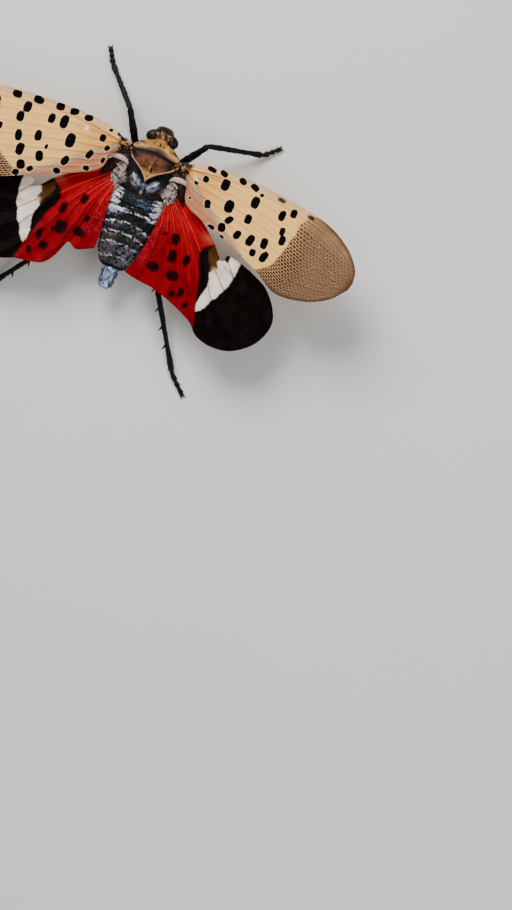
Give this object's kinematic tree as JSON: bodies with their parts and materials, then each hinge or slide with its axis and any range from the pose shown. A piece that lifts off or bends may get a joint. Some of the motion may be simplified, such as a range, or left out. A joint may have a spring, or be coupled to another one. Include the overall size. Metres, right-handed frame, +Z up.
{
  "type": "spotted lanternfly",
  "caption": "Life-size still model of a spotted lanternfly standing on its feet with the spotted forewings and red hindwings spread.",
  "frame": {"origin": "on the floor, under the middle of the box round the wings and feet", "axes": "+X to the animal's right along the wingspan, +Y forward where the head points, +Z up from the floor"},
  "size_m": [0.0503, 0.0336, 0.0082],
  "materials": {
    "thorax_cuticle": "waxy grey bloom over black cuticle",
    "tan_cuticle": "satin tan",
    "brown_cuticle": "satin brown with pale margins",
    "head_cuticle": "mottled tan and dark brown",
    "black_cuticle": "satin black with a grey bloom",
    "abdomen_cuticle": "black with waxy white and grey bands",
    "eye": "glossy dark brown, finely faceted",
    "orange_cuticle": "orange red with a dark bristle",
    "forewing_membrane": "leathery cream tan with black spots and a netted brown tip",
    "hindwing_membrane": "red with black spots, a white band and a black tip"
  },
  "bodies": {
    "root": {"thorax": "thorax_cuticle", "pronotum": "tan_cuticle", "mesonotum": "brown_cuticle", "head": "head_cuticle", "eye_left": "eye", "eye_right": "eye", "antenna_left": "orange_cuticle", "antenna_right": "orange_cuticle", "beak": "black_cuticle", "abdomen": "abdomen_cuticle", "tail_segment": "abdomen_cuticle", "forewing_left": "forewing_membrane", "forewing_right": "forewing_membrane", "hindwing_left": "hindwing_membrane", "hindwing_right": "hindwing_membrane", "tegula_left": "tan_cuticle", "tegula_right": "tan_cuticle", "front_left_femur": "black_cuticle", "front_left_tibia": "black_cuticle", "front_left_tarsus": "black_cuticle", "front_right_femur": "black_cuticle", "front_right_tibia": "black_cuticle", "front_right_tarsus": "black_cuticle", "middle_left_femur": "black_cuticle", "middle_left_tibia": "black_cuticle", "middle_left_tarsus": "black_cuticle", "middle_right_femur": "black_cuticle", "middle_right_tibia": "black_cuticle", "middle_right_tarsus": "black_cuticle", "hind_left_femur": "black_cuticle", "hind_left_tibia": "black_cuticle", "hind_left_tarsus": "black_cuticle", "hind_right_femur": "black_cuticle", "hind_right_tibia": "black_cuticle", "hind_right_tarsus": "black_cuticle"}
  },
  "joints": []
}
